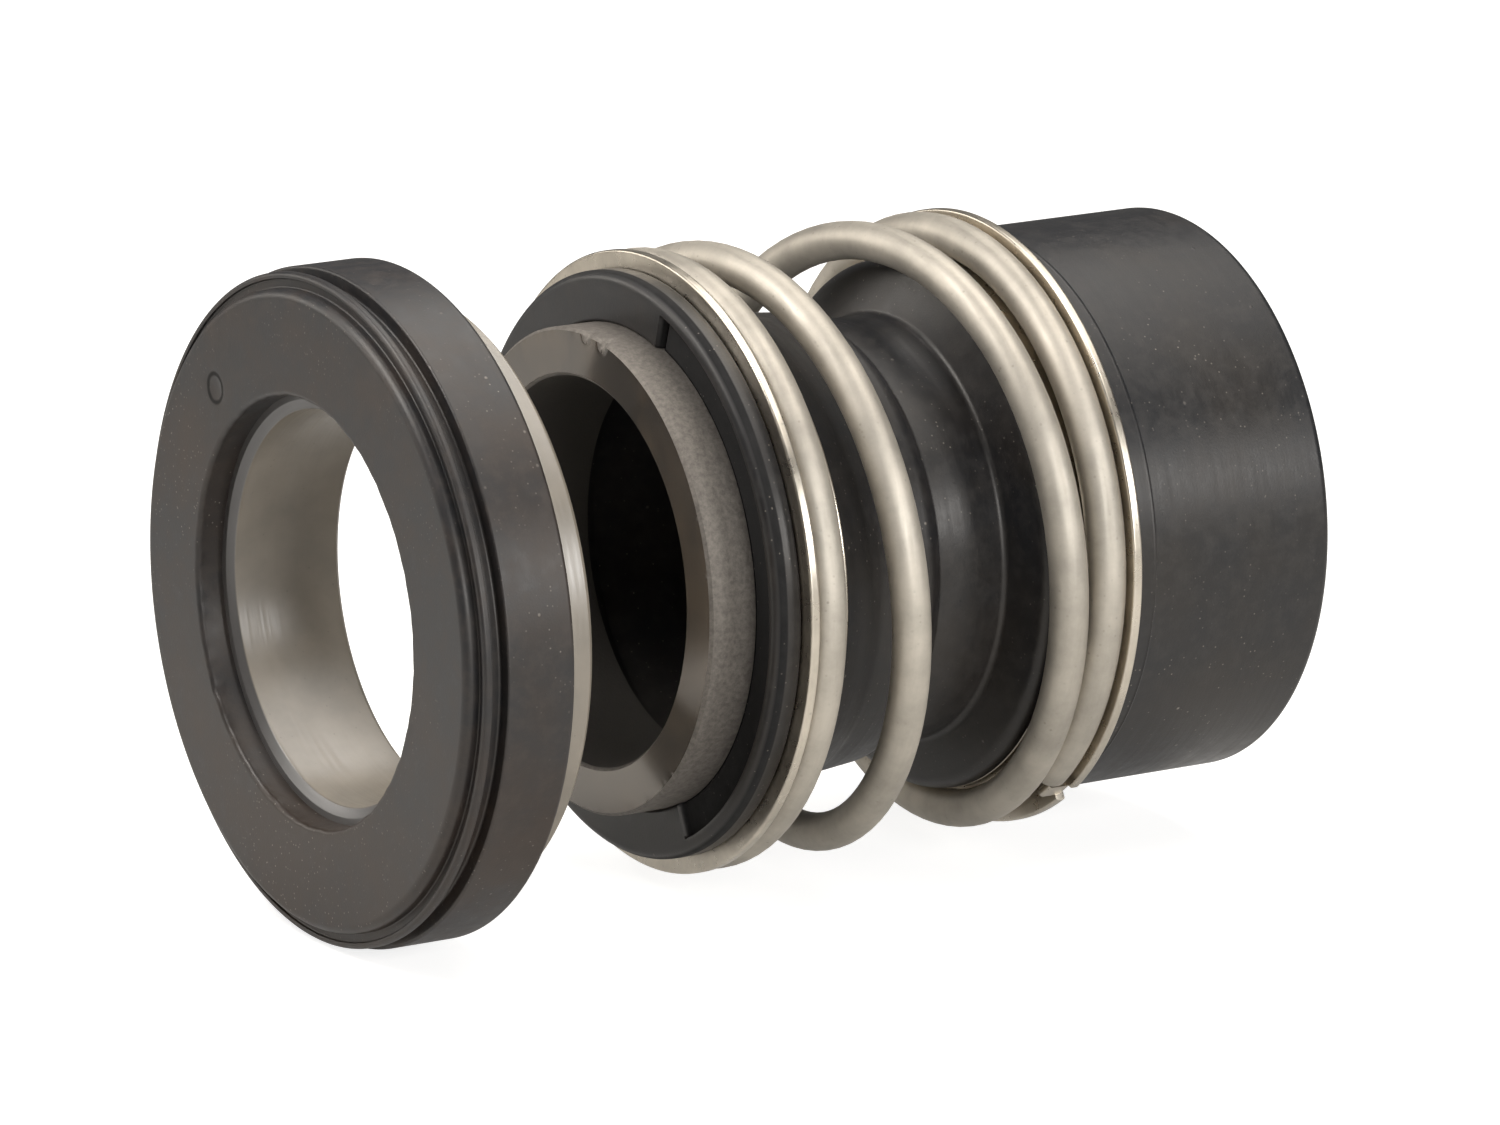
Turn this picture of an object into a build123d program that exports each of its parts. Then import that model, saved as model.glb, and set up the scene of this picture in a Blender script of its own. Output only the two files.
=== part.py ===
from build123d import *
from math import cos, pi, sin
import os

# Component mechanical seal for a 20 mm pump shaft, in millimetres.
# The shaft axis is X. The stationary seat is at the low end, the rotating unit follows it along +X,
# and the sealing faces stand apart, as the two halves do before they are fitted. +Z is up.
# The origin is on the axis, at the middle of the seat cup's press band.
# Angles are in degrees or turns from straight down, by way of +Y.

# Clearances
SEATED_GAP = 0.02            # between pieces of the rotating unit that only rest on each other
TURNING_GAP = 0.05           # radial, between the bellows and the rear angle ring
SPRING_GAP = 0.15            # radial, between the coils and the angle rings' legs
RING_ROOM = 1.6              # radial, between the shaft and both sealing rings' bores
NECK_ROOM = 0.9              # radial, between the shaft and the neck of the bellows

# Shaft and the rest distance between the two sealing faces
SHAFT_DIAMETER = 20.0
SHAFT_INTERFERENCE = 0.1     # the bellows bore is this much under the shaft's radius
FACE_DISTANCE = 9.66

# Stationary ring
SEAT_RING_WALL = 6.0
SEAT_RING_PROTRUSION = 2.6   # how far it stands out of the rubber cup
SEAT_RING_EDGE = 0.3
SEAT_RING_BACK_CHAMFER = 1.5
SEAT_RING_MOUTH_WIDTH = 0.92 # sloping mouth of the bore, at the back
SEAT_RING_MOUTH_DEPTH = 0.4
SEAT_RING_MOUTH_ROUND = 0.18

# Rubber cup round the stationary ring
CUP_WALL = 2.3
CUP_LENGTH = 6.5
CUP_BACK_WALL = 1.72
CUP_BAND_LENGTH = 4.4        # plain press band at the open end
CUP_HOLE_STEP = 1.12         # radial step from the hole's lip to the ring's bore
CUP_BEAD_STEP = 1.15         # radial step from the ring's outside to the edge of the flat back
CUP_BEAD_ROUND = 0.35
CUP_SLIT_WIDTH = 0.55
CUP_SLIT_DEPTH = 0.9
CUP_RIB_SETBACK = 0.7        # the rib's front behind the flat back
CUP_RIB_WIDTH = 0.5
CUP_RIB_DROP = 0.22          # the rib's top under the press band
CUP_RIB_ROUND = 0.25
CUP_GROOVE_DEPTH = 0.9
CUP_MOUTH_ROUND = 0.3

# Rotating face ring
FACE_RING_WALL = 2.85
FACE_RING_LENGTH = 7.35
FACE_RING_PROTRUSION = 2.6   # how far it stands out of the rubber head
FACE_RING_EDGE = 0.25

# Angle rings: pressed sheet rings with a flange for the spring and a leg inside its end coil
SHEET = 0.6
LEG_LENGTH = 3.5             # beyond the flange
FLANGE_OVERHANG = 0.05       # radial, beyond the outside of the coils
BEND_RADIUS = 0.5
SHEET_ROUND = 0.12

# Spring: right-hand helix with closed ends
WIRE_DIAMETER = 2.3
SPRING_LENGTH = 21.64        # between the two flanges
FRONT_WIRE_END = -0.06       # turns
REAR_WIRE_END = 3.97
# pitch in mm a turn at each turn, before it is scaled to the spring's length
PITCH_AT_TURN = [(0.80, 0.0), (1.11, 6.5), (1.75, 7.3), (2.25, 13.6), (2.75, 6.8), (2.95, 6.8), (3.45, 0.0)]
POINTS_PER_TURN = 20

# Head of the bellows, round the face ring
HEAD_WALL = 0.91             # rubber between the face ring and the front angle ring's leg
HEAD_RIM_LENGTH = 1.7        # rubber rim in front of the front flange
HEAD_RIM_INSET = 1.05        # how far the flange stands out round the rim
HEAD_RIM_ROUND = 0.6
HEAD_BORE_STEP = 1.1         # radial step from the face ring's bore to the rubber behind it
RECESS_DEPTH = 0.42          # sunk sector of the rim's front, inside a ridge
RECESS_RIDGE = 0.85
RECESS_START = 198
RECESS_END = 334

# Neck of the bellows, from the front angle ring back to the tail block
NECK_WALL = 1.85
TAPER_LENGTH = 3.7           # taper down from the front leg
TAPER_RISE = 1.15            # its end over the neck
TAPER_ROUND = 3.0
FOLD_LENGTH = 3.8            # long shoulder behind the taper
FOLD_RISE = 0.75             # its end over the neck
FOLD_ROUND = 1.2
FOLD_FACE = 0.8              # drop from the shoulder to the neck
NECK_ROUND = 0.8

# Tail block in front of the rear angle ring, and the tail behind it
BLOCK_FOOT = 1.76            # foot of the block in front of the rear leg
BLOCK_LAND = 0.8             # its outer corner in front of the rear leg
BLOCK_INSET = 0.05           # its outside under the leg's
BLOCK_ROUND = 0.95
BLOCK_FOOT_ROUND = 0.4
TAIL_INSET = 1.5             # the flange stands out round the tail by this
TAIL_LENGTH = 14.44
TAIL_EDGE_ROUND = 0.5
TAIL_BORE_CHAMFER = 0.6

MOULD_ROUND = 0.15           # small edges of the rubber mouldings

# Radii, from the shaft outwards
SHAFT_BORE = SHAFT_DIAMETER / 2 - SHAFT_INTERFERENCE
RING_BORE = SHAFT_DIAMETER / 2 + RING_ROOM
SEAT_RING_RADIUS = RING_BORE + SEAT_RING_WALL
CUP_RADIUS = SEAT_RING_RADIUS + CUP_WALL
CUP_HOLE_RADIUS = RING_BORE + CUP_HOLE_STEP
FACE_RING_RADIUS = RING_BORE + FACE_RING_WALL
LEG_BORE = FACE_RING_RADIUS + HEAD_WALL + 2 * SEATED_GAP
LEG_RADIUS = LEG_BORE + SHEET
WIRE_RADIUS = WIRE_DIAMETER / 2
COIL_RADIUS = LEG_RADIUS + SPRING_GAP + WIRE_RADIUS
FLANGE_RADIUS = COIL_RADIUS + WIRE_RADIUS + FLANGE_OVERHANG
NECK_BORE = SHAFT_DIAMETER / 2 + NECK_ROOM
NECK_RADIUS = NECK_BORE + NECK_WALL
TAIL_RADIUS = FLANGE_RADIUS - TAIL_INSET

# Stations along X
SEAT_FRONT = CUP_BAND_LENGTH / 2                   # open end of the cup
SEAT_BACK = SEAT_FRONT - CUP_LENGTH
SEAT_RING_BACK = SEAT_BACK + CUP_BACK_WALL
SEAT_FACE = SEAT_FRONT + SEAT_RING_PROTRUSION
UNIT_FACE = SEAT_FACE + FACE_DISTANCE
FACE_RING_BACK = UNIT_FACE + FACE_RING_LENGTH
HEAD_FRONT = UNIT_FACE + FACE_RING_PROTRUSION
FRONT_FLANGE = HEAD_FRONT + HEAD_RIM_LENGTH        # front plane of the front flange
SPRING_START = FRONT_FLANGE + SHEET
SPRING_END = SPRING_START + SPRING_LENGTH
TAIL_START = SPRING_END + SHEET
TAIL_END = TAIL_START + TAIL_LENGTH
FRONT_LEG_END = SPRING_START + LEG_LENGTH
REAR_LEG_END = SPRING_END - LEG_LENGTH


def section(corners):
    """Half section in the XY plane; each corner is (station, radius) or (station, radius, rounding)."""
    face = make_face(Polyline(*[corner[:2] for corner in corners], close=True))
    for corner in corners:
        if len(corner) == 3:
            vertex = face.vertices().sort_by_distance((corner[0], corner[1], 0))[0]
            face = fillet(vertex, corner[2])
    return face


def turned(corners):
    """Body of revolution about the shaft axis."""
    return revolve(section(corners), Axis.X)


def sector(corners, start, end):
    """The part of a body of revolution that lies between two angles."""
    section_angle = 90
    return Rot(X=start - section_angle) * revolve(section(corners), Axis.X, revolution_arc=end - start)


def seat_cup():
    """Rubber cup: flat back with a hole, a slit and a rib round its edge, and a plain press band."""
    bead = SEAT_RING_RADIUS + CUP_BEAD_STEP
    rib_foot = bead + CUP_SLIT_WIDTH
    rib_top = CUP_RADIUS - CUP_RIB_DROP
    rib_front = SEAT_BACK + CUP_RIB_SETBACK
    groove = rib_front + CUP_RIB_WIDTH
    groove_floor = CUP_RADIUS - CUP_GROOVE_DEPTH
    band = SEAT_FRONT - CUP_BAND_LENGTH
    slit_floor = SEAT_BACK + CUP_SLIT_DEPTH
    return turned([
        (SEAT_BACK, CUP_HOLE_RADIUS, CUP_MOUTH_ROUND),
        (SEAT_BACK, bead, CUP_BEAD_ROUND),
        (slit_floor, bead),
        (slit_floor, rib_foot),
        (rib_front, rib_foot),
        (rib_front, rib_top, CUP_RIB_ROUND),
        (groove, rib_top),
        (groove, groove_floor, MOULD_ROUND),
        (band, groove_floor, MOULD_ROUND),
        (band, CUP_RADIUS, MOULD_ROUND),
        (SEAT_FRONT, CUP_RADIUS, CUP_MOUTH_ROUND),
        (SEAT_FRONT, SEAT_RING_RADIUS),
        (SEAT_RING_BACK + SEAT_RING_BACK_CHAMFER, SEAT_RING_RADIUS),
        (SEAT_RING_BACK, SEAT_RING_RADIUS - SEAT_RING_BACK_CHAMFER),
        (SEAT_RING_BACK, CUP_HOLE_RADIUS),
    ])


def seat_ring():
    """Stationary ring with a lapped face and a sloping mouth where the shaft comes through."""
    return turned([
        (SEAT_RING_BACK, RING_BORE + SEAT_RING_MOUTH_WIDTH, MOULD_ROUND),
        (SEAT_RING_BACK, SEAT_RING_RADIUS - SEAT_RING_BACK_CHAMFER),
        (SEAT_RING_BACK + SEAT_RING_BACK_CHAMFER, SEAT_RING_RADIUS),
        (SEAT_FACE - SEAT_RING_EDGE, SEAT_RING_RADIUS),
        (SEAT_FACE, SEAT_RING_RADIUS - SEAT_RING_EDGE),
        (SEAT_FACE, RING_BORE + SEAT_RING_EDGE),
        (SEAT_FACE - SEAT_RING_EDGE, RING_BORE),
        (SEAT_RING_BACK + SEAT_RING_MOUTH_DEPTH, RING_BORE, SEAT_RING_MOUTH_ROUND),
    ])


def face_ring():
    """Rotating ring: plain sleeve with a lapped face."""
    return turned([
        (UNIT_FACE, RING_BORE + FACE_RING_EDGE),
        (UNIT_FACE, FACE_RING_RADIUS - FACE_RING_EDGE),
        (UNIT_FACE + FACE_RING_EDGE, FACE_RING_RADIUS),
        (FACE_RING_BACK - FACE_RING_EDGE, FACE_RING_RADIUS),
        (FACE_RING_BACK, FACE_RING_RADIUS - FACE_RING_EDGE),
        (FACE_RING_BACK, RING_BORE),
        (UNIT_FACE + FACE_RING_EDGE, RING_BORE),
    ])


def angle_ring(outer_face, towards):
    """Pressed ring: flange with its outer face at a station, and a leg that runs towards the other ring."""
    inner_face = outer_face + towards * SHEET
    leg_end = inner_face + towards * LEG_LENGTH
    return turned([
        (outer_face, LEG_BORE, BEND_RADIUS),
        (outer_face, FLANGE_RADIUS, SHEET_ROUND),
        (inner_face, FLANGE_RADIUS, SHEET_ROUND),
        (inner_face, LEG_RADIUS, SHEET_ROUND),
        (leg_end, LEG_RADIUS, SHEET_ROUND),
        (leg_end, LEG_BORE, SHEET_ROUND),
    ])


def rim_recess():
    """Space of the sunk sector in the front of the head's rim, between the face ring and the ridge."""
    above = HEAD_FRONT - RECESS_DEPTH
    floor = HEAD_FRONT + RECESS_DEPTH
    ridge = FLANGE_RADIUS - HEAD_RIM_INSET - RECESS_RIDGE
    return sector([
        (above, RING_BORE),
        (above, ridge),
        (floor, ridge, MOULD_ROUND),
        (floor, RING_BORE),
    ], RECESS_START, RECESS_END)


def bellows():
    """One rubber moulding: head round the face ring, folded neck, tail block and shaft grip."""
    pocket = FACE_RING_RADIUS + SEATED_GAP
    pocket_floor = FACE_RING_BACK + SEATED_GAP
    head_bore = RING_BORE + HEAD_BORE_STEP
    rim = FLANGE_RADIUS - HEAD_RIM_INSET
    collar = LEG_BORE - SEATED_GAP
    taper_end = FRONT_LEG_END + TAPER_LENGTH
    fold_end = taper_end + FOLD_LENGTH
    neck_start = fold_end + FOLD_FACE
    block_foot = REAR_LEG_END - BLOCK_FOOT
    block = LEG_RADIUS - BLOCK_INSET
    grip = LEG_BORE - TURNING_GAP
    moulding = turned([
        (HEAD_FRONT, pocket, MOULD_ROUND),
        (HEAD_FRONT, rim, HEAD_RIM_ROUND),
        (FRONT_FLANGE - SEATED_GAP, rim, MOULD_ROUND),
        (FRONT_FLANGE - SEATED_GAP, collar - BEND_RADIUS / 2),
        (FRONT_FLANGE + BEND_RADIUS, collar),
        (FRONT_LEG_END, collar, NECK_ROUND),
        (taper_end, NECK_RADIUS + TAPER_RISE, TAPER_ROUND),
        (fold_end, NECK_RADIUS + FOLD_RISE, FOLD_ROUND),
        (neck_start, NECK_RADIUS),
        (block_foot, NECK_RADIUS, BLOCK_FOOT_ROUND),
        (REAR_LEG_END - BLOCK_LAND, block, BLOCK_ROUND),
        (REAR_LEG_END - SEATED_GAP, block),
        (REAR_LEG_END - SEATED_GAP, grip),
        (TAIL_START - BEND_RADIUS, grip),
        (TAIL_START + SEATED_GAP, grip - BEND_RADIUS / 2),
        (TAIL_START + SEATED_GAP, TAIL_RADIUS, MOULD_ROUND),
        (TAIL_END, TAIL_RADIUS, TAIL_EDGE_ROUND),
        (TAIL_END, SHAFT_BORE + TAIL_BORE_CHAMFER),
        (TAIL_END - TAIL_BORE_CHAMFER, SHAFT_BORE),
        (REAR_LEG_END, SHAFT_BORE),
        (block_foot, NECK_BORE, NECK_ROUND),
        (neck_start + FOLD_FACE, NECK_BORE, NECK_ROUND),
        (FRONT_LEG_END, head_bore, NECK_ROUND),
        (pocket_floor, head_bore),
        (pocket_floor, pocket),
    ])
    return moulding - rim_recess()


def pitch_at(turn):
    """Pitch at a turn, in straight stretches between the stated turns."""
    for (low, low_pitch), (high, high_pitch) in zip(PITCH_AT_TURN, PITCH_AT_TURN[1:]):
        if low <= turn <= high:
            return low_pitch + (high_pitch - low_pitch) * (turn - low) / (high - low)
    return 0.0


def coil_points():
    """Wire centre line: the pitch added up turn by turn, and scaled to reach from flange to flange."""
    steps = round((REAR_WIRE_END - FRONT_WIRE_END) * POINTS_PER_TURN)
    turns = [FRONT_WIRE_END + (REAR_WIRE_END - FRONT_WIRE_END) * i / steps for i in range(steps + 1)]
    climbs = [0.0]
    for low, high in zip(turns, turns[1:]):
        climbs.append(climbs[-1] + pitch_at((low + high) / 2) * (high - low))
    travel = SPRING_LENGTH - WIRE_DIAMETER - 2 * SEATED_GAP
    start = SPRING_START + WIRE_RADIUS + SEATED_GAP
    points = []
    for turn, climb in zip(turns, climbs):
        angle = 2 * pi * turn
        station = start + travel * climb / climbs[-1]
        points.append((station, COIL_RADIUS * sin(angle), -COIL_RADIUS * cos(angle)))
    return points


def spring():
    """Round wire along the coil's centre line, with plain cut ends."""
    path = Spline(*coil_points())
    wire = Plane(origin=path @ 0, z_dir=path % 0) * Circle(WIRE_RADIUS)
    return sweep(wire, path=path, is_frenet=True)


def main():
    pieces = {
        "seat_cup": seat_cup(),
        "seat_ring": seat_ring(),
        "face_ring": face_ring(),
        "front_angle_ring": angle_ring(FRONT_FLANGE, 1),
        "rear_angle_ring": angle_ring(TAIL_START, -1),
        "bellows": bellows(),
        "spring": spring(),
    }
    os.makedirs("parts", exist_ok=True)
    for name, solid in pieces.items():
        solid.label = name
        export_step(solid, f"parts/{name}.step")
        print(name, "volume", round(solid.volume, 1), "mm3")


main()
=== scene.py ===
import math

import bmesh
import bpy
import numpy as np
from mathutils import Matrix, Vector


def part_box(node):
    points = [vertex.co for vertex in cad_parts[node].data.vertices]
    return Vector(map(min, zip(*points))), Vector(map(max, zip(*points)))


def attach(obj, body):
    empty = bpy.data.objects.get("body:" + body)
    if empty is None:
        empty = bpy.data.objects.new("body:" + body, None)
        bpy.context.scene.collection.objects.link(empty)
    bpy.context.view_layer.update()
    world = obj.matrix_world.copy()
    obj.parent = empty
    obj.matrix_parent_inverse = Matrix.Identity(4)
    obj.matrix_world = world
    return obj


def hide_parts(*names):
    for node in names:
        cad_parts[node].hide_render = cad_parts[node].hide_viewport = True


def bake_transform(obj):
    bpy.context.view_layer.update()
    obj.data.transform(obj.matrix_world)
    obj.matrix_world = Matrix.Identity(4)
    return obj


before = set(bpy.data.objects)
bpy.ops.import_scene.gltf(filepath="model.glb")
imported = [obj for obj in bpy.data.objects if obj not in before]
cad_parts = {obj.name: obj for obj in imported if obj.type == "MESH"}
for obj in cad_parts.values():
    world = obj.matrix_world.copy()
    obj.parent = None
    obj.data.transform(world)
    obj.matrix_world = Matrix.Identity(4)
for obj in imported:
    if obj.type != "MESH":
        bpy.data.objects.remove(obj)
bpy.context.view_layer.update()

# Component mechanical seal: stationary seat and rotating unit on one level shaft axis, which is X.
# Everything is in metres. Profiles are written as (station, radius) pairs in millimetres and scaled once.
# A station is a place along X. Angles round the shaft start pointing down, and 90 degrees is the far side.

MM = 0.001

# ---------------------------------------------------------------- the view

PHOTO_WIDTH, PHOTO_HEIGHT = 1500, 1125
FOCAL_PIXELS = 10000
VIEW_AZIMUTH = 31.81           # degrees the camera looks round from +Y towards +X
VIEW_ELEVATION = 13.84         # degrees the camera looks down
AIM_POINT = (-0.00038, 0, 0)   # the point on the shaft axis that lies at AIM_PIXEL
AIM_PIXEL = (361.34, 604.43)
AIM_DEPTH = 0.5779             # along the view, from the camera to that point
SENSOR = 36.0                  # width of the camera's sensor in Blender's own millimetres

AZIMUTH, ELEVATION = math.radians(VIEW_AZIMUTH), math.radians(VIEW_ELEVATION)
FORWARD = Vector((math.sin(AZIMUTH) * math.cos(ELEVATION), math.cos(AZIMUTH) * math.cos(ELEVATION),
                  -math.sin(ELEVATION)))
RIGHT = Vector((math.cos(AZIMUTH), -math.sin(AZIMUTH), 0))
UP = RIGHT.cross(FORWARD)


def ray(pixel):
    """Direction from the camera through a pixel of the photograph, one metre deep."""
    across = (pixel[0] - PHOTO_WIDTH / 2) / FOCAL_PIXELS
    down = (pixel[1] - PHOTO_HEIGHT / 2) / FOCAL_PIXELS
    return FORWARD + RIGHT * across - UP * down


EYE = Vector(AIM_POINT) - ray(AIM_PIXEL) * AIM_DEPTH


def polar(pixel, station):
    """(angle, radius) in radians and millimetres of what a pixel shows on a plane across the shaft."""
    way = ray(pixel)
    point = EYE + way * ((station * MM - EYE.x) / way.x)
    return math.atan2(point.y, -point.z) % (2 * math.pi), math.hypot(point.y, point.z) / MM


# ---------------------------------------------------------------- sizes from the CAD frame


def span(node):
    """(first station, last station, outer radius) of a round CAD node, in millimetres."""
    low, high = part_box(node)
    return low.x / MM, high.x / MM, high.z / MM


CUP_BACK, CUP_FRONT, CUP_RADIUS = span("seat_cup")
SEAT_RING_BACK, SEAT_FACE, SEAT_RING_RADIUS = span("seat_ring")
UNIT_FACE, FACE_RING_BACK, FACE_RING_RADIUS = span("face_ring")
FRONT_FLANGE, FRONT_LEG_END, FLANGE_RADIUS = span("front_angle_ring")
REAR_LEG_END, TAIL_START, _ = span("rear_angle_ring")
HEAD_FRONT, TAIL_END, RIM_RADIUS = span("bellows")
SPRING_LOW, SPRING_HIGH, SPRING_RADIUS = span("spring")

SHEET = 0.6                    # thickness of both angle rings
SEATED_GAP = 0.02              # between pieces that are pressed together
RING_BORE = 11.6               # of both sealing rings
HOLE_RADIUS = RING_BORE + 1.0  # in the flat back of the seat's rubber
SEAT_CHAMFER = 1.5             # round the back of the seat's ring
MOUTH_DEPTH, MOUTH_WIDTH = 0.3, 0.6     # of the chamfer in the back of the same ring's bore
SHAFT_BORE = 9.9
NECK_BORE, NECK_RADIUS = 10.9, 12.75
LEG_BORE = FACE_RING_RADIUS + 0.95
LEG_RADIUS = LEG_BORE + SHEET
WIRE_RADIUS = 1.15
COIL_RADIUS = SPRING_RADIUS - WIRE_RADIUS
TAIL_RADIUS = FLANGE_RADIUS - 1.5
RIDGE_RADIUS = RIM_RADIUS - 0.85        # inside of the ridge round the head's rim
RECESS_DEPTH, RECESS_FOOT = 0.42, 0.22  # the foot is a groove along the start of the recess
RECESS_START, RECESS_END = math.radians(196.2), math.radians(334)
RECESS_STEP = 0.012                     # radians over which its ends fall
RECESS_SHADE = (0.12, 0.3, 0.7, 0.8)    # depths where its painted shade starts, is full, starts to fade and is gone
PARTING_LINE = 1.9                      # of the moulding, behind the rear flange
PARTING_HEIGHT, PARTING_HALF_WIDTH = 0.05, 0.08

# Marks and wear, placed by their pixels in the photograph. Their widths are in radians.
DIMPLE_PIXEL = (215, 388)
DIMPLE_RADIUS, DIMPLE_DEPTH = 0.85, 0.09
DIMPLE_SHADE = (0.19, 0.06)    # distances from the dimple's edge where its painted shade line starts and is full
LIP_WAVE = 0.05
TEAR_PIXEL = (211, 690)
TEAR_DEPTH, TEAR_WIDTH = 0.16, 0.035
CHIP_PIXELS = ((586, 333), (601, 352))
CHIP_DEPTH, CHIP_WIDTH = 0.22, 0.022
NICK_DEPTH = 0.02

# Notch in the rear flange, and the lug bent forward out of it
LUG_START, LUG_END = math.radians(320.6), math.radians(325.2)
LUG_LENGTH, LUG_RADIUS = 1.2, 18.2
LUG_THICKNESS = SHEET - 0.05
LUG_CUTS = ((0.06, 0.96), (0.08, 0.988), (0.13, 1.0), (0.5, 1.0), (0.87, 1.0), (0.92, 0.988), (0.94, 0.96))
NOTCH_FLOOR = TAIL_RADIUS - 0.2
NOTCH_STEP = 0.004             # radians over which its sides fall

# ---------------------------------------------------------------- mesh helpers


NEARLY_STRAIGHT = 1.55         # half the angle of a corner that is left as it is, in radians
SHARP_EDGE = 38                # degrees


def rounded(corners, arc_step=0.12):
    """Closed profile from (station, radius) or (station, radius, rounding) corners."""
    points = []
    count = len(corners)
    for i, corner in enumerate(corners):
        here = np.array(corner[:2], float)
        rounding = corner[2] if len(corner) == 3 else 0.0
        before = np.array(corners[i - 1][:2], float) - here
        after = np.array(corners[(i + 1) % count][:2], float) - here
        before_length, after_length = np.linalg.norm(before), np.linalg.norm(after)
        before, after = before / before_length, after / after_length
        half = math.acos(np.clip(before @ after, -1, 1)) / 2
        if rounding == 0.0 or half > NEARLY_STRAIGHT:
            points.append(here)
            continue
        reach = rounding / math.tan(half)
        centre = here + (before + after) / np.linalg.norm(before + after) * rounding / math.sin(half)
        start, end = here + before * reach, here + after * reach
        first = math.atan2(*(start - centre)[::-1])
        turn = (math.atan2(*(end - centre)[::-1]) - first + math.pi) % (2 * math.pi) - math.pi
        steps = max(3, math.ceil(abs(turn) * rounding / arc_step))
        for k in range(steps + 1):
            angle = first + turn * k / steps
            points.append(centre + rounding * np.array([math.cos(angle), math.sin(angle)]))
    return np.array(points)


def refined(points, step=0.45, support=0.05):
    """The same closed profile with its straight runs divided, and a support point near each end of a run."""
    out = []
    for here, after in zip(points, np.roll(points, -1, axis=0)):
        length = np.linalg.norm(after - here)
        out.append(here)
        if length < 4 * support:
            continue
        inner = max(1, math.ceil(length / step))
        shares = [support / length] + [k / inner for k in range(1, inner)] + [1 - support / length]
        out.extend(here + (after - here) * share for share in shares)
    return np.array(out)


def make_mesh(name, vertices, faces, sharp=SHARP_EDGE):
    """Smooth-shaded mesh with edges sharper than an angle kept crisp."""
    mesh = bpy.data.meshes.new(name)
    mesh.from_pydata(vertices.tolist(), [], faces)
    mesh.validate()
    mesh.shade_smooth()
    mesh.set_sharp_from_angle(angle=math.radians(sharp))
    return mesh


def place_object(name, data):
    """Object in the scene that shows a mesh, a light or a camera."""
    obj = bpy.data.objects.new(name, data)
    bpy.context.scene.collection.objects.link(obj)
    return obj


def grid_faces(rows, columns, closed=True):
    """Quads between rows of points. Each row is a loop, and if closed, the last row meets the first."""
    faces = []
    for i in range(rows if closed else rows - 1):
        j = (i + 1) % rows
        for k in range(columns):
            m = (k + 1) % columns
            faces.append((i * columns + k, i * columns + m, j * columns + m, j * columns + k))
    return faces


def lathe(name, corners, segments=360, shift=None, step=0.45, arc_step=0.12):
    """Profile turned about X. shift moves its points by (station, radius, angle), each an array."""
    profile = refined(rounded(corners, arc_step), step)
    area = np.sum(profile[:, 0] * np.roll(profile[:, 1], -1) - np.roll(profile[:, 0], -1) * profile[:, 1])
    if area < 0:
        profile = profile[::-1]
    angles = np.linspace(0, 2 * math.pi, segments, endpoint=False)
    station = np.repeat(profile[None, :, 0], len(angles), axis=0)
    radius = np.repeat(profile[None, :, 1], len(angles), axis=0)
    angle = np.repeat(angles[:, None], len(profile), axis=1)
    if shift is not None:
        station, radius = shift(station, radius, angle)
    points = np.stack([station, radius * np.sin(angle), -radius * np.cos(angle)], axis=-1)
    mesh = make_mesh(name, points.reshape(-1, 3) * MM, grid_faces(len(angles), len(profile)))
    return place_object(name, mesh)


# ---------------------------------------------------------------- material helpers


MIX_SHARE, MIX_FIRST, MIX_SECOND, MIX_RESULT = 0, 6, 7, 2       # sockets of a mix of colours


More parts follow.
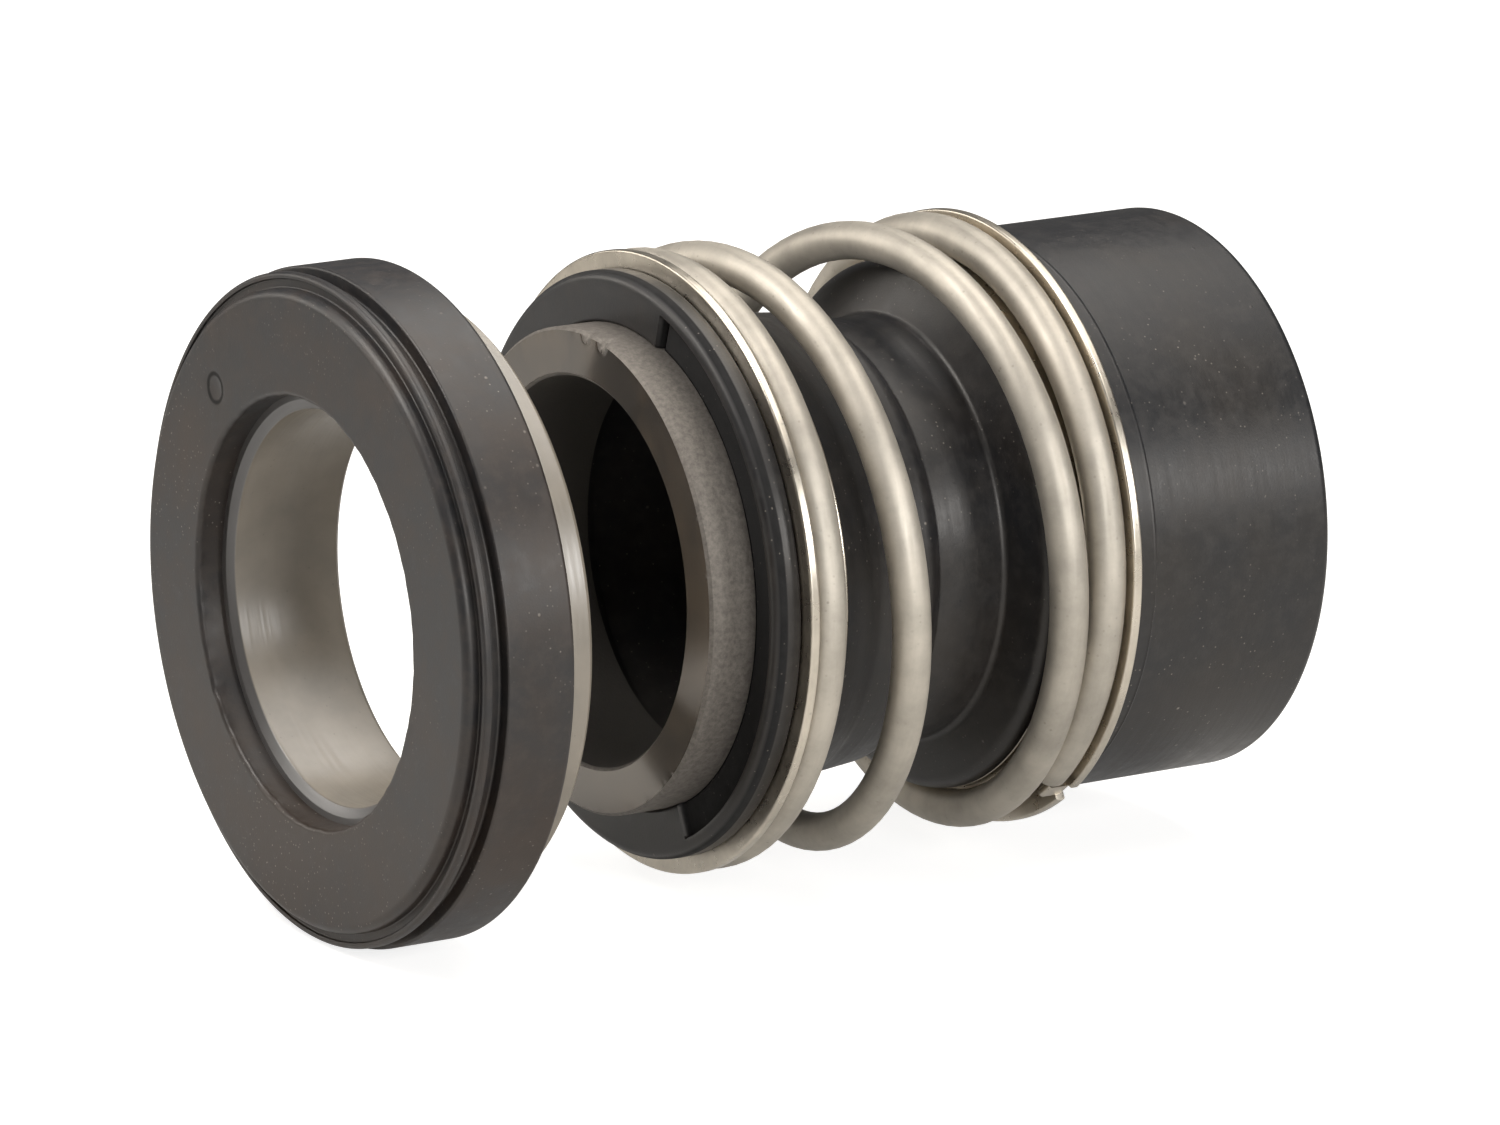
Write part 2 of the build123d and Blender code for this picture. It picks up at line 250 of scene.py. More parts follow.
class Shader:
    """A node material, built with short calls. An input takes a plain value or another node's output."""

    def __init__(self, name, **fixed):
        self.material = bpy.data.materials.new(name)
        self.material.use_nodes = True
        self.tree = self.material.node_tree
        self.bsdf = self.tree.nodes["Principled BSDF"]
        self.coordinates = self.node("ShaderNodeTexCoord").outputs["Object"]
        for socket, value in fixed.items():
            self.bsdf.inputs[socket.replace("_", " ")].default_value = value

    def node(self, kind, inputs=None, **settings):
        made = self.tree.nodes.new(kind)
        for key, value in settings.items():
            setattr(made, key, value)
        for key, value in (inputs or {}).items():
            socket = made.inputs[key]
            if isinstance(value, bpy.types.NodeSocket):
                self.tree.links.new(value, socket)
            else:
                socket.default_value = value
        return made

    def noise(self, scale, detail, rough, vector=None):
        inputs = {"Vector": vector or self.coordinates, "Scale": scale, "Detail": detail, "Roughness": rough}
        return self.node("ShaderNodeTexNoise", inputs).outputs["Fac"]

    def stretched(self, x, y, z):
        """Coordinates scaled along each axis. Noise on them runs in streaks along the axis scaled least."""
        inputs = {"Vector": self.coordinates, "Scale": (x, y, z)}
        return self.node("ShaderNodeMapping", inputs).outputs["Vector"]

    def split(self, vector):
        return self.node("ShaderNodeSeparateXYZ", {"Vector": vector}).outputs

    def vector(self, operation, a, b=(0, 0, 0)):
        return self.node("ShaderNodeVectorMath", {0: a, 1: b}, operation=operation).outputs

    def math(self, operation, a, b=0.0):
        return self.node("ShaderNodeMath", {0: a, 1: b}, operation=operation).outputs[0]

    def remap(self, value, low, high, to_low=0.0, to_high=1.0):
        inputs = {"Value": value, "From Min": low, "From Max": high, "To Min": to_low, "To Max": to_high}
        return self.node("ShaderNodeMapRange", inputs, clamp=True).outputs["Result"]

    def mix(self, share, first, second):
        inputs = {MIX_SHARE: share, MIX_FIRST: first, MIX_SECOND: second}
        return self.node("ShaderNodeMix", inputs, data_type="RGBA").outputs[MIX_RESULT]

    def set(self, socket, value):
        self.tree.links.new(value, self.bsdf.inputs[socket])

    def bump(self, height, distance, strength):
        made = self.node("ShaderNodeBump", {"Height": height, "Distance": distance, "Strength": strength})
        self.set("Normal", made.outputs["Normal"])

    def specks(self, scale, size, keep):
        """Mask of small round specks: cells whose random value passes keep, near their centres."""
        cell = self.node("ShaderNodeTexVoronoi", {"Vector": self.coordinates, "Scale": scale}, feature="F1")
        near = self.remap(cell.outputs["Distance"], size, size * 0.4)
        pick = self.node("ShaderNodeSeparateColor", {"Color": cell.outputs["Color"]}).outputs[0]
        return self.math("MULTIPLY", near, self.math("GREATER_THAN", pick, keep))


def linear(*display):
    """Red, green and blue in display values of 0 to 255, as linear light, and an alpha of 1."""
    shares = [value / 255 for value in display]
    return (*(((s + 0.055) / 1.055) ** 2.4 if s > 0.04045 else s / 12.92 for s in shares), 1.0)


# ---------------------------------------------------------------- materials


DUST_TONE = (150, 142, 132)
WARM_LIFT = 26                 # display steps by which the rubber's mottle is paler than its bloom


def shade_recess(shader):
    """Mask of painted shade in the depths of the head's recess, in shares of the bellows' length so that it
    moves along.
    """
    start, full, fade, gone = (depth / (TAIL_END - HEAD_FRONT) for depth in RECESS_SHADE)
    along = shader.split(shader.node("ShaderNodeTexCoord").outputs["Generated"])["X"]
    return shader.math("MULTIPLY", shader.remap(along, start, full), shader.remap(along, gone, fade))


def shade_dimple(shader):
    """Mask of a thin ring of painted shade along the edge of the dimple in the seat's back."""
    angle, radius = polar(DIMPLE_PIXEL, CUP_BACK)
    centre = Vector((CUP_BACK, radius * math.sin(angle), -radius * math.cos(angle))) * MM
    away = shader.vector("DISTANCE", shader.coordinates, centre)["Value"]
    off = shader.math("ABSOLUTE", shader.math("SUBTRACT", away, DIMPLE_RADIUS * MM))
    return shader.remap(off, *(distance * MM for distance in DIMPLE_SHADE))


def rubber(name, tone, warm, roughness, streaks, shade, painted_shade_tone):
    """Moulded black rubber: brownish bloom in patches, painted floor reflection making it browner towards
    the bottom, turned or moulded streaks, fine grain, dust and lint.

    shade makes the mask of its deepest marks, which are painted darker as shade and are duller than the
    rest."""
    shader = Shader(name, Specular_IOR_Level=0.5, IOR=1.5, Specular_Tint=(1, 0.96, 0.91, 1))
    height = shader.split(shader.coordinates)["Z"]
    cloud = shader.noise(130, 5, 0.6)
    mottle = shader.noise(900, 4, 0.7)
    grain = shader.noise(7000, 3, 0.6)
    drawn = shader.noise(1.0, 4, 0.65, shader.stretched(3000, 70, 70))
    # Painted reflection of the floor: the bloom's brown grows towards the bottom.
    low = shader.remap(height, CUP_RADIUS * MM, -CUP_RADIUS * MM, -0.12, 0.12)
    bloom_and_floor_light = shader.remap(shader.math("ADD", cloud, low), 0.38, 0.66)
    bloomed_and_floor_lit = shader.mix(bloom_and_floor_light, linear(*tone), linear(*warm))
    paler = linear(*(value + WARM_LIFT for value in warm))
    greyed = shader.mix(shader.remap(mottle, 0.45, 0.8, 0.0, 0.4), bloomed_and_floor_lit, paler)
    coarse = shader.specks(1100, 0.14, 0.86)
    fine = shader.specks(3300, 0.22, 0.8)
    patches = shader.remap(shader.noise(95, 3, 0.6), 0.4, 0.66)
    dust = shader.math("MULTIPLY", shader.math("MAXIMUM", coarse, fine), patches)
    # Painted shade: the masked places are darkened towards near black.
    deep = shade(shader)
    shaded = shader.mix(deep, greyed, linear(*painted_shade_tone))
    shader.set("Base Color", shader.mix(shader.math("MULTIPLY", dust, 0.55), shaded, linear(*DUST_TONE)))
    mottled = shader.remap(mottle, 0.3, 0.75, -0.05, 0.07)
    uneven = shader.math("ADD", mottled, shader.remap(drawn, 0.3, 0.7, -streaks, streaks))
    duller = shader.math("ADD", uneven, shader.math("MULTIPLY", deep, 0.5))
    shader.set("Roughness", shader.math("ADD", duller, roughness))
    lines = shader.math("MULTIPLY", drawn, streaks * 12)
    relief = shader.math("ADD", shader.math("ADD", grain, lines), shader.math("MULTIPLY", coarse, 2.0))
    shader.bump(relief, 0.00002, 0.3)
    return shader.material


def beige_ceramic():
    """Fine ground, with pores, faint turning marks and painted shade on the chamfer of its bore."""
    shader = Shader("beige_ceramic", Specular_IOR_Level=0.6, IOR=1.7)
    cloud = shader.noise(210, 4, 0.6)
    rings = shader.noise(1.0, 3, 0.6, shader.stretched(5000, 120, 120))
    even = shader.mix(shader.remap(cloud, 0.3, 0.7), linear(112, 105, 94), linear(133, 124, 111))
    pores = shader.specks(2600, 0.2, 0.84)
    along = shader.split(shader.coordinates)["X"]
    mouth_end = SEAT_RING_BACK + MOUTH_DEPTH
    # Painted shade: the chamfer at the back of the bore is darkened to a bluish grey.
    mouth_shade = shader.remap(along, (mouth_end + 0.04) * MM, (mouth_end - 0.04) * MM, 0.0, 0.85)
    toned = shader.mix(mouth_shade, even, linear(52, 52, 55))
    shader.set("Base Color", shader.mix(shader.math("MULTIPLY", pores, 0.5), toned, linear(96, 88, 78)))
    shader.set("Roughness", shader.remap(rings, 0.3, 0.7, 0.3, 0.44))
    shader.bump(shader.math("SUBTRACT", rings, pores), 0.000012, 0.3)
    return shader.material


def dark_ceramic():
    """Its lapped face is smooth with brown stains, its sides are grained, and its bore is painted darker as
    shade.
    """
    shader = Shader("dark_ceramic", IOR=2.1, Specular_Tint=(1, 0.9, 0.78, 1))
    grain = shader.noise(3000, 4, 0.75)
    cloud = shader.noise(170, 4, 0.6)
    facing = shader.split(shader.node("ShaderNodeNewGeometry").outputs["Normal"])["X"]
    lapped = shader.remap(facing, -0.985, -0.999)
    sides = shader.mix(shader.remap(grain, 0.35, 0.65), linear(38, 36, 36), linear(84, 80, 76))
    # Painted shade: the bore is darkened to near black.
    off_axis = shader.vector("MULTIPLY", shader.coordinates, (0, 1, 1))["Vector"]
    radius = shader.vector("LENGTH", off_axis)["Value"]
    bore = shader.remap(radius, (RING_BORE + 0.1) * MM, (RING_BORE + 0.02) * MM)
    sides = shader.mix(bore, sides, linear(14, 16, 20))
    toned = shader.mix(shader.remap(cloud, 0.4, 0.62), linear(34, 33, 34), linear(66, 58, 50))
    shader.set("Base Color", shader.mix(lapped, sides, toned))
    shader.set("Roughness", shader.remap(lapped, 0.0, 1.0, 0.65, 0.11))
    rough = shader.math("SUBTRACT", 1.0, lapped)
    shader.bump(shader.math("MULTIPLY", grain, rough), 0.00004, 0.6)
    return shader.material


def steel(name, tone, roughness, along, metallic):
    """Stainless steel with a warm cast, drawn or pressed, with fine lines, pits and faint stains.

    along gives how fine its lines are along each axis."""
    shader = Shader(name, Metallic=metallic)
    cloud = shader.noise(260, 5, 0.65)
    fine = shader.noise(1.0, 4, 0.65, shader.stretched(*along))
    pits = shader.specks(2400, 0.26, 0.7)
    stain = linear(*(value * 0.86 for value in tone))
    pit = linear(*(value * 0.62 for value in tone))
    even = shader.mix(shader.remap(cloud, 0.35, 0.7), linear(*tone), stain)
    worn = shader.math("MULTIPLY", pits, shader.remap(shader.noise(400, 3, 0.6), 0.4, 0.7, 0.0, 0.5))
    shader.set("Base Color", shader.mix(worn, even, pit))
    shader.set("Roughness", shader.remap(fine, 0.3, 0.7, roughness - 0.06, roughness + 0.08))
    shader.bump(shader.math("SUBTRACT", fine, shader.math("MULTIPLY", pits, 0.5)), 0.000014, 0.4)
    return shader.material


# ---------------------------------------------------------------- pieces


def finish_piece(obj, body, slot, material, *nodes):
    """Material, replaced CAD nodes, and the body that the piece rides on, if it is only one. slot is not
    used.
    """
    obj.data.materials.append(material)
    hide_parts(*nodes)
    if body:
        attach(obj, body)


def smooth(value, low, high):
    """0 below low, 1 above high, and an S curve between."""
    share = np.clip((value - low) / (high - low), 0, 1)
    return share * share * (3 - 2 * share)


def ripple(angle, turns, phases):
    """Uneven wave round the axis, from -1 to 1: sines of a few whole numbers of turns."""
    return sum(np.sin(n * angle + p) for n, p in zip(turns, phases)) / len(turns)


def wear_cup(station, radius, angle):
    """Ragged lip of rubber round the hole, a tear in it, and a moulding dimple on the flat back."""
    lip = 1 - smooth(station, CUP_BACK + 0.25, CUP_BACK + 0.6)
    lip = lip * (1 - smooth(radius, HOLE_RADIUS + 0.15, HOLE_RADIUS + 0.5))
    ragged = LIP_WAVE * ripple(angle, (17, 29, 43, 71), (0.3, 1.9, 4.0, 2.2))
    ragged = ragged + LIP_WAVE * ripple(angle, (2, 5), (1, 3))
    tear_angle, _ = polar(TEAR_PIXEL, CUP_BACK)
    tear = np.exp(-((angle - tear_angle) / TEAR_WIDTH) ** 2)
    radius = radius + lip * (ragged + TEAR_DEPTH * tear)
    dimple_angle, dimple_radius = polar(DIMPLE_PIXEL, CUP_BACK)
    away = np.hypot(radius - dimple_radius, (angle - dimple_angle) * dimple_radius)
    back = 1 - smooth(station, CUP_BACK + 0.05, CUP_BACK + 0.2)
    return station + DIMPLE_DEPTH * back * (1 - smooth(away, DIMPLE_RADIUS - 0.3, DIMPLE_RADIUS)), radius


def make_seat_cup(material):
    """Flat back with a hole, a slit and a rib round its edge, and a plain press band."""
    bead, pocket = SEAT_RING_RADIUS + 1.15, SEAT_RING_RADIUS + 0.005
    rib_foot, rib_top = SEAT_RING_RADIUS + 1.7, CUP_RADIUS - 0.22
    slit_floor, rib_back = CUP_BACK + 0.9, CUP_BACK + 0.7
    groove, groove_floor, band = CUP_BACK + 1.2, CUP_RADIUS - 0.9, CUP_BACK + 2.1
    cup = lathe("seat_cup_rubber", [
        (CUP_BACK, HOLE_RADIUS, 0.3), (CUP_BACK, bead, 0.55), (slit_floor, bead, 0.08),
        (slit_floor, rib_foot, 0.08), (rib_back, rib_foot, 0.06), (rib_back, rib_top, 0.25),
        (groove, rib_top, 0.06), (groove, groove_floor, 0.15), (band, groove_floor, 0.15),
        (band, CUP_RADIUS, 0.15), (CUP_FRONT, CUP_RADIUS, 0.3), (CUP_FRONT, pocket, 0.05),
        (SEAT_RING_BACK + SEAT_CHAMFER, pocket), (SEAT_RING_BACK, pocket - SEAT_CHAMFER),
        (SEAT_RING_BACK, HOLE_RADIUS),
    ], shift=wear_cup, arc_step=0.06)
    finish_piece(cup, "seat", "seat_rubber", material, "seat_cup")


def make_seat_ring(material):
    """Ring with chamfered edges, whose lapped face stands proud of the cup."""
    edge = 0.3
    ring = lathe("seat_ring_ceramic", [
        (SEAT_RING_BACK, RING_BORE + MOUTH_WIDTH, 0.12), (SEAT_RING_BACK, SEAT_RING_RADIUS - SEAT_CHAMFER),
        (SEAT_RING_BACK + SEAT_CHAMFER, SEAT_RING_RADIUS), (SEAT_FACE - edge, SEAT_RING_RADIUS, 0.1),
        (SEAT_FACE, SEAT_RING_RADIUS - edge, 0.1), (SEAT_FACE, RING_BORE + edge, 0.1),
        (SEAT_FACE - edge, RING_BORE, 0.1), (SEAT_RING_BACK + MOUTH_DEPTH, RING_BORE, 0.1),
    ], arc_step=0.06)
    finish_piece(ring, "seat", "seat_face", material, "seat_ring")


def chip_face(station, radius, angle):
    """Chips in the outer edge of the lapped face, and fine nicks round it."""
    edge = smooth(radius, FACE_RING_RADIUS - 0.55, FACE_RING_RADIUS - 0.1)
    front = 1 - smooth(station, UNIT_FACE + 0.35, UNIT_FACE + 0.8)
    bite = NICK_DEPTH * np.clip(ripple(angle, (31, 47, 83, 109), (0.5, 2.1, 3.3, 5.0)), 0, 1)
    for pixel in CHIP_PIXELS:
        chip_angle, _ = polar(pixel, UNIT_FACE)
        bite = bite + CHIP_DEPTH * np.exp(-((angle - chip_angle) / CHIP_WIDTH) ** 2)
    return station + bite * edge * front, radius - 0.6 * bite * edge * front


def make_face_ring(material):
    """Plain ring with the edges of its lapped face broken."""
    edge = 0.18
    ring = lathe("face_ring_carbide", [
        (UNIT_FACE, RING_BORE + edge), (UNIT_FACE, FACE_RING_RADIUS - edge),
        (UNIT_FACE + edge, FACE_RING_RADIUS), (FACE_RING_BACK, FACE_RING_RADIUS),
        (FACE_RING_BACK, RING_BORE), (UNIT_FACE + edge, RING_BORE),
    ], segments=720, shift=chip_face, step=0.3)
    finish_piece(ring, "head", "lapped_face", material, "face_ring")


def cut_notch(station, radius, angle):
    """Notch in the rim of the rear flange, down to just inside the tail's edge."""
    sector = smooth(angle, LUG_START - NOTCH_STEP, LUG_START + NOTCH_STEP)
    sector = sector * (1 - smooth(angle, LUG_END - NOTCH_STEP, LUG_END + NOTCH_STEP))
    return station, np.where(radius > NOTCH_FLOOR, radius + (NOTCH_FLOOR - radius) * sector, radius)


def add_lug(ring):
    """Drive lug bent forward out of the rear flange's notch. The end of the wire stands against it.

    LUG_CUTS are its cuts, as (share of the notch's width, size), which are a little smaller at its sides."""
    face = TAIL_START - SHEET
    foot, back, bend, tip = TAIL_RADIUS - 0.5, TAIL_START - 0.03, face + 0.03, face - LUG_LENGTH
    under = LUG_RADIUS - LUG_THICKNESS
    outline = rounded([
        (back, foot), (back, LUG_RADIUS, 0.55), (tip, LUG_RADIUS, 0.22),
        (tip, under, 0.22), (bend, under, 0.12), (bend, foot),
    ], 0.05)[::-1]
    middle = outline.mean(axis=0)
    vertices = []
    for share, size in LUG_CUTS:
        angle = LUG_START + (LUG_END - LUG_START) * share
        for station, radius in middle + (outline - middle) * size:
            vertices.append((station, radius * math.sin(angle), -radius * math.cos(angle)))
    count, last = len(outline), (len(LUG_CUTS) - 1) * len(outline)
    faces = grid_faces(len(LUG_CUTS), count, closed=False)
    faces += [tuple(range(count))[::-1], tuple(range(last, last + count))]
    lug = make_mesh("lug", np.array(vertices) * MM, faces)
    both = bmesh.new()
    both.from_mesh(ring.data)
    both.from_mesh(lug)
    bmesh.ops.recalc_face_normals(both, faces=both.faces)
    both.to_mesh(ring.data)
    both.free()
    bpy.data.meshes.remove(lug)


def make_angle_ring(name, node, body, outer_face, towards, material, lug=False):
    """Flange whose leg runs towards the spring, +1 along X or -1 against it. The rear one has the lug."""
    inner_face = outer_face + towards * SHEET
    leg_end = FRONT_LEG_END if towards > 0 else REAR_LEG_END
    ring = lathe(name, [
        (outer_face, LEG_BORE, 0.5), (outer_face, FLANGE_RADIUS, 0.14), (inner_face, FLANGE_RADIUS, 0.14),
        (inner_face, LEG_RADIUS, 0.1), (leg_end, LEG_RADIUS, 0.14), (leg_end, LEG_BORE, 0.14),
    ], segments=720 if lug else 360, shift=cut_notch if lug else None, arc_step=0.05)
    if lug:
        add_lug(ring)
    finish_piece(ring, body, "sheet_steel", material, node)


def sink_recess(station, radius, angle):
    """Sunk sector in the front of the head's rim, between the face ring and the ridge."""
    front = 1 - smooth(station, HEAD_FRONT + 0.1, HEAD_FRONT + 0.3)
    inside = 1 - smooth(radius, RIDGE_RADIUS - 0.15, RIDGE_RADIUS + 0.02)
    sector = smooth(angle, RECESS_START, RECESS_START + RECESS_STEP)
    sector = sector * (1 - smooth(angle, RECESS_END - RECESS_STEP, RECESS_END))
    foot = RECESS_FOOT * np.exp(-((angle - RECESS_START - RECESS_STEP) / RECESS_STEP) ** 2)
    return station + (RECESS_DEPTH + foot) * front * inside * sector, radius


def make_bellows(material):
    """One moulding: head with its rim and pocket, taper, folded neck, block under the rear leg, and tail."""
    pocket, collar, grip = FACE_RING_RADIUS + SEATED_GAP, LEG_BORE - SEATED_GAP, LEG_BORE - 0.05
    block_foot, block_top = REAR_LEG_END - 1.76, LEG_RADIUS - 0.05
    fold_end = FRONT_LEG_END + 7.5
    head_bore = RING_BORE + 1.1
    flange_seat, leg_seat = FRONT_FLANGE - SEATED_GAP, REAR_LEG_END - SEATED_GAP
    tail_seat, line = TAIL_START + SEATED_GAP, TAIL_START + PARTING_LINE
    piece = lathe("bellows_rubber", [
        (HEAD_FRONT, pocket, 0.15), (HEAD_FRONT, RIDGE_RADIUS - 0.2), (HEAD_FRONT, RIDGE_RADIUS + 0.05),
        (HEAD_FRONT, RIM_RADIUS, 0.6), (flange_seat, RIM_RADIUS, 0.15), (flange_seat, collar - 0.25),
        (FRONT_FLANGE + 0.5, collar), (FRONT_LEG_END, collar, 0.8),
        (FRONT_LEG_END + 3.7, NECK_RADIUS + 1.15, 3.0), (fold_end, NECK_RADIUS + 0.75, 1.2),
        (fold_end + 0.8, NECK_RADIUS, 0.25), (block_foot, NECK_RADIUS, 0.4),
        (REAR_LEG_END - 0.8, block_top, 0.95), (leg_seat, block_top), (leg_seat, grip),
        (TAIL_START - 0.5, grip), (tail_seat, grip - 0.25), (tail_seat, TAIL_RADIUS, 0.15),
        (line - PARTING_HALF_WIDTH, TAIL_RADIUS), (line, TAIL_RADIUS + PARTING_HEIGHT),
        (line + PARTING_HALF_WIDTH, TAIL_RADIUS), (TAIL_END, TAIL_RADIUS, 0.5),
        (TAIL_END, SHAFT_BORE + 0.6), (TAIL_END - 0.6, SHAFT_BORE), (REAR_LEG_END, SHAFT_BORE, 0.5),
        (block_foot, NECK_BORE, 0.8), (fold_end + 1.6, NECK_BORE, 0.8), (FRONT_LEG_END, head_bore, 0.8),
        (FACE_RING_BACK + SEATED_GAP, head_bore), (FACE_RING_BACK + SEATED_GAP, pocket),
    ], segments=720, shift=sink_recess)
    finish_piece(piece, None, "bellows_rubber", material, "bellows")
    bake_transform(piece)


# ---------------------------------------------------------------- spring

FRONT_WIRE_END, REAR_WIRE_END = -0.06, 3.886    # turns from the lowest point. The rear end meets the lug.
PITCH_AT_TURN = ((0.80, 0.0), (1.11, 6.5), (1.75, 7.3), (2.2, 13.4),
                 (2.48, 12.0), (2.7, 5.2), (2.95, 5.6), (3.45, 0.0))
STEPS_PER_TURN = 90
WIRE_SIDES = 40
WIRE_BEVEL = 0.12
END_CUTS = ((0.0, 0.0), (0.0, 0.55), (0.0, 1 - WIRE_BEVEL), (WIRE_BEVEL * 0.35, 1 - WIRE_BEVEL * 0.3))


def coil_line():
    """Centre line of the wire: the pitch added up along the turns, scaled to the spring's length."""
    steps = round((REAR_WIRE_END - FRONT_WIRE_END) * STEPS_PER_TURN)
    turns = np.linspace(FRONT_WIRE_END, REAR_WIRE_END, steps + 1)
    pitch = np.interp((turns[1:] + turns[:-1]) / 2, *np.array(PITCH_AT_TURN).T)
    climb = np.concatenate([[0.0], np.cumsum(pitch * np.diff(turns))])
    first, last = SPRING_LOW + WIRE_RADIUS, SPRING_HIGH - WIRE_RADIUS
    station = first + (last - first) * climb / climb[-1]
    angle = 2 * math.pi * turns
    return np.stack([station, COIL_RADIUS * np.sin(angle), -COIL_RADIUS * np.cos(angle)], axis=-1)


def make_spring(material):
    """Round wire with bevelled ends.

    END_CUTS are the cuts at an end, as (distance in from it, size) with a size of 1 for the full wire."""
    line = coil_line()
    last = len(line) - 1
    tangent = np.gradient(line, axis=0)
    tangent /= np.linalg.norm(tangent, axis=1)[:, None]
    outward = line * np.array([0, 1, 1])
    outward -= tangent * np.sum(outward * tangent, axis=1)[:, None]
    outward /= np.linalg.norm(outward, axis=1)[:, None]
    across = np.cross(tangent, outward)
    sections = [(0, ahead, size) for ahead, size in END_CUTS] + [(0, WIRE_BEVEL, 1.0)]
    sections += [(index, 0.0, 1.0) for index in range(1, last)]
    sections += [(last, -WIRE_BEVEL, 1.0)] + [(last, -ahead, size) for ahead, size in reversed(END_CUTS)]
    around = np.linspace(0, 2 * math.pi, WIRE_SIDES, endpoint=False)
    vertices, centres, faces = [], [], []
    for index, ahead, size in sections:
        centre = line[index] + tangent[index] * ahead
        ring = outward[index] * np.cos(around)[:, None] + across[index] * np.sin(around)[:, None]
        points = centre + ring * WIRE_RADIUS * size
        vertices.append(points if size > 0 else centre[None, :])
        centres.append(np.repeat(line[index][None, :], len(vertices[-1]), axis=0))
    starts = np.cumsum([0] + [len(v) for v in vertices])
    for row, (first, second) in enumerate(zip(vertices, vertices[1:])):
        a, b = int(starts[row]), int(starts[row + 1])
        for k in range(WIRE_SIDES):
            m = (k + 1) % WIRE_SIDES
            if len(first) == 1:
                faces.append((a, b + m, b + k))
            elif len(second) == 1:
                faces.append((a + k, a + m, b))
            else:
                faces.append((a + k, a + m, b + m, b + k))
    shape = np.concatenate(vertices) * MM
    middle = np.concatenate(centres) * MM
    wire = place_object("spring_wire", make_mesh("spring_wire", shape, faces, sharp=60))
    finish_piece(wire, None, "spring_steel", material, "spring")
    wire.data.vertices.foreach_set("co", middle.astype(np.float32).ravel())
    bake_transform(wire)
    wire.data.vertices.foreach_set("co", shape.astype(np.float32).ravel())
    wire.data.update()


# ---------------------------------------------------------------- stage


FLOOR_HALF = 3.0
FLOOR_COLOUR = (0.55, 0.54, 0.52, 1)
FLOOR_GLOW, MIRRORED_GLOW = 0.8, 0.26  # emission as the camera sees it, and as reflections see it nearby
NEAR_FLOOR, FAR_FLOOR = 0.09, 0.22     # distances between which reflections lose that emission
FAR_FLOOR_SHARE = 0.1                  # of it that is left beyond the second distance
ROOM_LEVEL = 0.12


def make_floor():
    """Pale floor just under the seat. The camera sees it white, with its shadow, and reflections dimmer."""
    half, height = FLOOR_HALF, -(CUP_RADIUS + 0.05) * MM
    corners = [(-half, -half, height), (half, -half, height), (half, half, height), (-half, half, height)]
    floor = place_object("floor", make_mesh("floor", np.array(corners), [(0, 1, 2, 3)]))
    shader = Shader("floor_white", Base_Color=FLOOR_COLOUR, Roughness=1.0, Specular_IOR_Level=0.0)
    away = shader.vector("LENGTH", shader.coordinates)["Value"]
    near = shader.remap(away, NEAR_FLOOR, FAR_FLOOR, 1.0, FAR_FLOOR_SHARE)
    path = shader.node("ShaderNodeLightPath").outputs
    mirrored = shader.math("MAXIMUM", path["Is Glossy Ray"], path["Is Transmission Ray"])
    mirrored = shader.math("MULTIPLY", shader.math("MULTIPLY", mirrored, near), MIRRORED_GLOW)
    seen = shader.math("MULTIPLY", path["Is Camera Ray"], FLOOR_GLOW)
    shader.set("Emission Strength", shader.math("MAXIMUM", seen, mirrored))
    floor.data.materials.append(shader.material)


def make_world():
    """Dim room. The camera sees it white."""
    world = bpy.data.worlds.new("studio")
    bpy.context.scene.world = world
    world.use_nodes = True
    nodes, links = world.node_tree.nodes, world.node_tree.links
    path = nodes.new("ShaderNodeLightPath")
    strength = nodes.new("ShaderNodeMath")
    strength.operation = "MAXIMUM"
    strength.inputs[1].default_value = ROOM_LEVEL
    links.new(path.outputs["Is Camera Ray"], strength.inputs[0])
    links.new(strength.outputs[0], nodes["Background"].inputs["Strength"])
    nodes["Background"].inputs["Color"].default_value = (1, 1, 1, 1)


def make_softbox(name, place, aim, width, height, power, colour=(1, 1, 1)):
    """Rectangular soft light. Places and sizes are in metres, and the power is in watts."""
    light = bpy.data.lights.new(name, "AREA")
    light.shape = "RECTANGLE"
    light.size, light.size_y = width, height
    light.energy = power
    light.color = colour
    box = place_object(name, light)
    box.location = place
    box.rotation_euler = (Vector(aim) - Vector(place)).to_track_quat("-Z", "Y").to_euler()


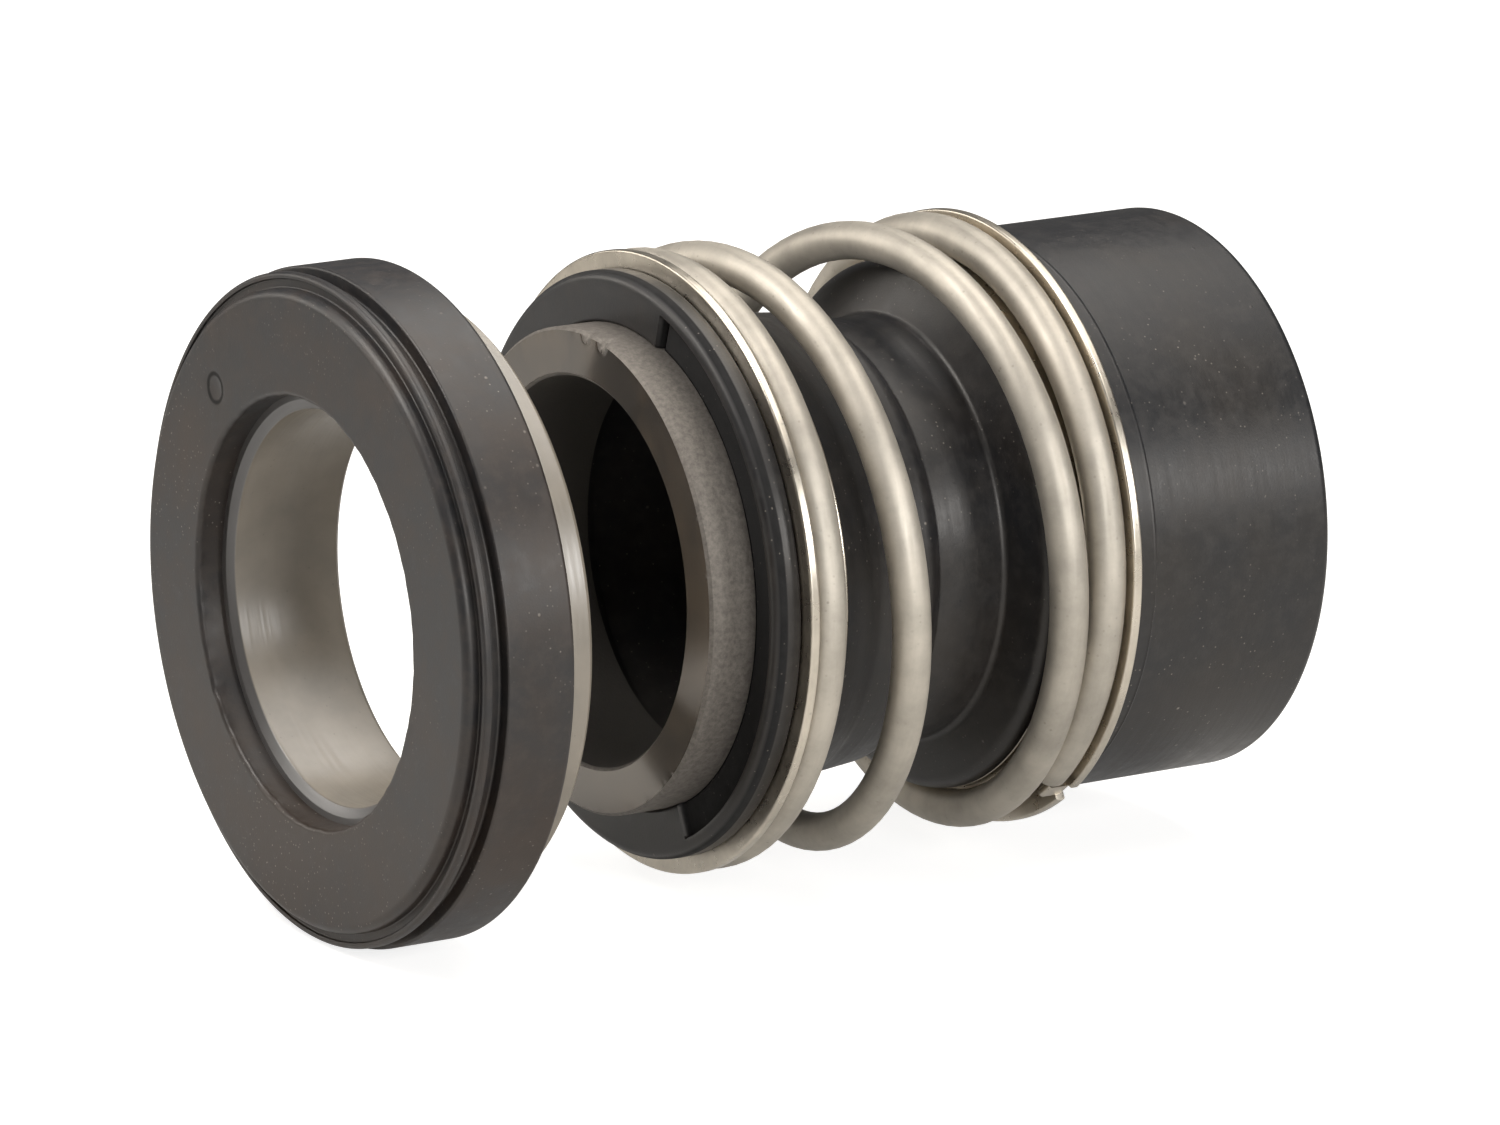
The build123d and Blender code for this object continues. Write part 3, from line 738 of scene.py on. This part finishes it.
def make_camera():
    """Camera of the photograph, level from side to side, with no shift."""
    data = bpy.data.cameras.new("camera")
    data.sensor_width = SENSOR
    data.lens = FOCAL_PIXELS / PHOTO_WIDTH * SENSOR
    data.clip_start, data.clip_end = 0.01, 20
    camera = place_object("camera", data)
    camera.location = EYE
    camera.rotation_euler = (math.pi / 2 - ELEVATION, 0, -AZIMUTH)
    bpy.context.scene.camera = camera


def make_stage():
    """Floor, room, lamps and camera. The lamps aim at the set, at the seat's middle or at its upper half."""
    bpy.context.scene.view_settings.view_transform = "Standard"
    make_floor()
    make_world()
    middle, seat, seat_top = (0.02, 0, 0), (0, 0, 0), (0, 0, 0.01)
    make_softbox("overhead", (0.14, -0.01, 0.34), middle, 0.5, 0.2, 1.25, (1, 0.97, 0.93))
    make_softbox("left", (-0.07, 0.02, 0.12), seat_top, 0.08, 0.08, 0.2, (1, 0.98, 0.96))
    make_softbox("front", (-0.03, -0.5, 0.14), middle, 0.22, 0.22, 1.45)
    make_softbox("right", (0.19, -0.3, 0.1), seat, 0.055, 0.09, 0.35)
    make_softbox("rear_left", (-0.24, 0.3, 0.12), seat_top, 0.3, 0.14, 0.5, (1, 0.96, 0.9))
    make_camera()


# ---------------------------------------------------------------- the object

# The last colour of each rubber is its painted shade, in the head's recess or along the dimple's edge.
seat_rubber = rubber("seat_black_rubber", (31, 31, 33), (43, 34, 28), 0.44, 0.01, shade_dimple, (8, 8, 9))
head_rubber = rubber("bellows_black_rubber", (24, 25, 28), (34, 31, 29), 0.4, 0.04, shade_recess, (8, 9, 12))
sheet_steel = steel("sheet_stainless", (212, 203, 188), 0.3, (900, 900, 900), 1.0)
wire_steel = steel("wire_stainless", (190, 183, 171), 0.56, (2600, 160, 160), 0.85)

make_seat_cup(seat_rubber)
make_seat_ring(beige_ceramic())
make_face_ring(dark_ceramic())
make_angle_ring("front_angle_ring_sheet", "front_angle_ring", "head", FRONT_FLANGE, 1, sheet_steel)
make_angle_ring("rear_angle_ring_sheet", "rear_angle_ring", "tail", TAIL_START, -1, sheet_steel, lug=True)
make_bellows(head_rubber)
make_spring(wire_steel)
make_stage()
